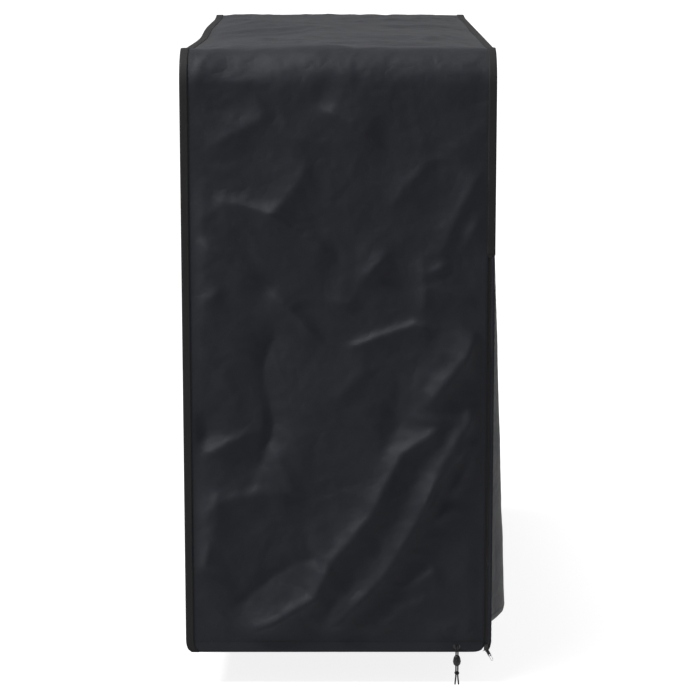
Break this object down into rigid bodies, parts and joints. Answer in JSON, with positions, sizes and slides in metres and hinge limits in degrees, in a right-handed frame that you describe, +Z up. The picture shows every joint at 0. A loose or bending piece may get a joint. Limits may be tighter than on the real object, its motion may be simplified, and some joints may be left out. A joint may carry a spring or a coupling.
{
  "type": "grill cover",
  "caption": "Box-shaped black cloth cover for a large barbecue, with a flared front hem, a zipped corner and a hem drawcord with a lock.",
  "frame": {"origin": "middle of the underside of the top panel, where the cover rests on the grill", "axes": "+X along the length, with the zip end at -X; -Y is the front side with the flare; +Z is up"},
  "size_m": [1.4908, 0.6572, 1.2669],
  "materials": {
    "cloth": "matt coated weave",
    "binding": "matt folded tape",
    "facing": "matt coated weave",
    "cord": "braided",
    "tape": "ribbed zip tape",
    "teeth": "moulded",
    "slider": "black enamel",
    "pull": "moulded",
    "ring": "plain wire",
    "eyelet": "blackened",
    "lock": "moulded",
    "spring": "wire"
  },
  "bodies": {
    "cover": {"saddle_panel": "cloth", "back_panel": "cloth", "front_panel": "cloth", "front_skirt": "cloth", "front_far_corner": "cloth", "front_zip_corner": "cloth", "front_binding": "binding", "back_binding": "binding", "facing_zip_end": "facing", "facing_far_end": "facing", "facing_back": "facing", "facing_front": "facing", "facing_far_flare": "facing", "drawcord_long": "cord", "drawcord_short": "cord", "zip_tape_end": "tape", "zip_teeth_end": "teeth", "zip_stop_end": "slider", "zip_tape_top": "tape", "zip_teeth_top": "teeth", "zip_closed_stop": "slider", "eyelet": "eyelet", "eyelet_washer": "eyelet", "cord_strand_a": "cord", "cord_strand_b": "cord", "drawcord_knot": "cord"},
    "flap": {"front_flap": "cloth", "flap_binding": "binding", "facing_flap": "facing", "drawcord_flap": "cord", "zip_tape_flap": "tape", "zip_teeth_flap": "teeth", "zip_stop_flap": "slider"},
    "zip_slider": {"slider_body": "slider", "slider_bridge": "slider"},
    "zip_pull": {"pull_tab": "pull"},
    "zip_ring": {"pull_ring": "ring"},
    "cord_lock": {"cord_lock_body": "lock", "cord_lock_spring": "spring"},
    "lock_button": {"cord_lock_button": "lock"}
  },
  "joints": [
    {"name": "flap_swing", "type": "hinge", "parent": "cover", "child": "flap", "pos_m": [-0.735, -0.305, -0.39], "axis": [-0.3468, 0.0532, 0.9364], "range_deg": [0, 140]},
    {"name": "zip_slide", "type": "slide", "parent": "cover", "child": "zip_slider", "axis": [0, 0, 1], "range_m": [0, 0.74]},
    {"name": "pull_swing", "type": "hinge", "parent": "zip_slider", "child": "zip_pull", "pos_m": [-0.7375, -0.296, -1.1928], "axis": [0, 0.8829, -0.4695], "range_deg": [0, 130]},
    {"name": "ring_swing", "type": "hinge", "parent": "zip_pull", "child": "zip_ring", "pos_m": [-0.7375, -0.30309, -1.20613], "axis": [0.766, -0.5675, 0.3018], "range_deg": [-50, 50]},
    {"name": "lock_slide", "type": "slide", "parent": "cover", "child": "cord_lock", "axis": [0, 0, -1], "range_m": [0, 0.0075]},
    {"name": "lock_press", "type": "slide", "parent": "cord_lock", "child": "lock_button", "axis": [1, 0, 0], "range_m": [0, 0.003], "stiffness_N_per_m": 800, "springref_m": -0.002, "deforming": ["cord_lock_spring"]}
  ],
  "couplings": [
    {"joint": "zip_slide", "follows": "flap_swing", "m_per_rad": 0.3028}
  ]
}
